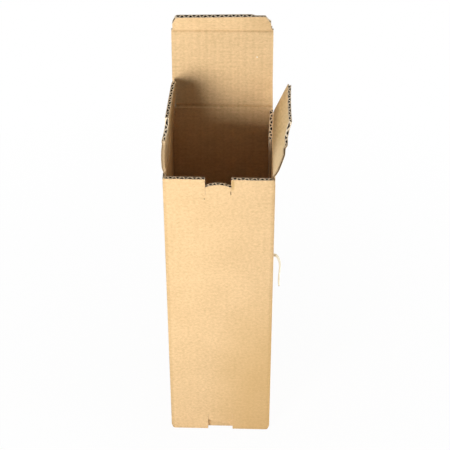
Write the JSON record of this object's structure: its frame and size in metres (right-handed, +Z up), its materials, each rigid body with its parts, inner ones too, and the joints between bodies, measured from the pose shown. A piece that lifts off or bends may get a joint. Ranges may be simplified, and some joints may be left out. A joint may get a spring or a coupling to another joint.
{
  "type": "bottle shipping box",
  "caption": "Tall open tuck-top shipping box of brown fluted board, with hinged lid and tuck flap, side flaps that fold in, notched front wall and a closed folded base.",
  "frame": {"origin": "middle of the base, between the outer faces of the walls, on the surface that the box stands on", "axes": "+Z up along the tall side, -Y towards the notched front wall, +X to the right seen from the front"},
  "size_m": [0.1034, 0.09, 0.4264],
  "materials": {
    "kraft_board": "matte",
    "cream_tape": "matte"
  },
  "bodies": {
    "box": {"box_body": "kraft_board", "pull_strip": "cream_tape"},
    "lid": {"lid_panel": "kraft_board"},
    "tuck": {"tuck_flap": "kraft_board"},
    "left_flap": {"left_dust_flap": "kraft_board"},
    "right_flap": {"right_dust_flap": "kraft_board"}
  },
  "joints": [
    {"name": "lid_fold", "type": "hinge", "parent": "box", "child": "lid", "pos_m": [0, 0.0435, 0.3235], "axis": [1, 0, 0], "range_deg": [-107, 87.5]},
    {"name": "tuck_fold", "type": "hinge", "parent": "lid", "child": "tuck", "pos_m": [0, 0.03986, 0.40692], "axis": [1, 0, 0], "range_deg": [-15, 75]},
    {"name": "left_dust_fold", "type": "hinge", "parent": "box", "child": "left_flap", "pos_m": [-0.0435, 0, 0.3202], "axis": [0, 1, 0], "range_deg": [-104, 91]},
    {"name": "right_dust_fold", "type": "hinge", "parent": "box", "child": "right_flap", "pos_m": [0.0435, 0, 0.3202], "axis": [0, -1, 0], "range_deg": [-82, 113]}
  ]
}
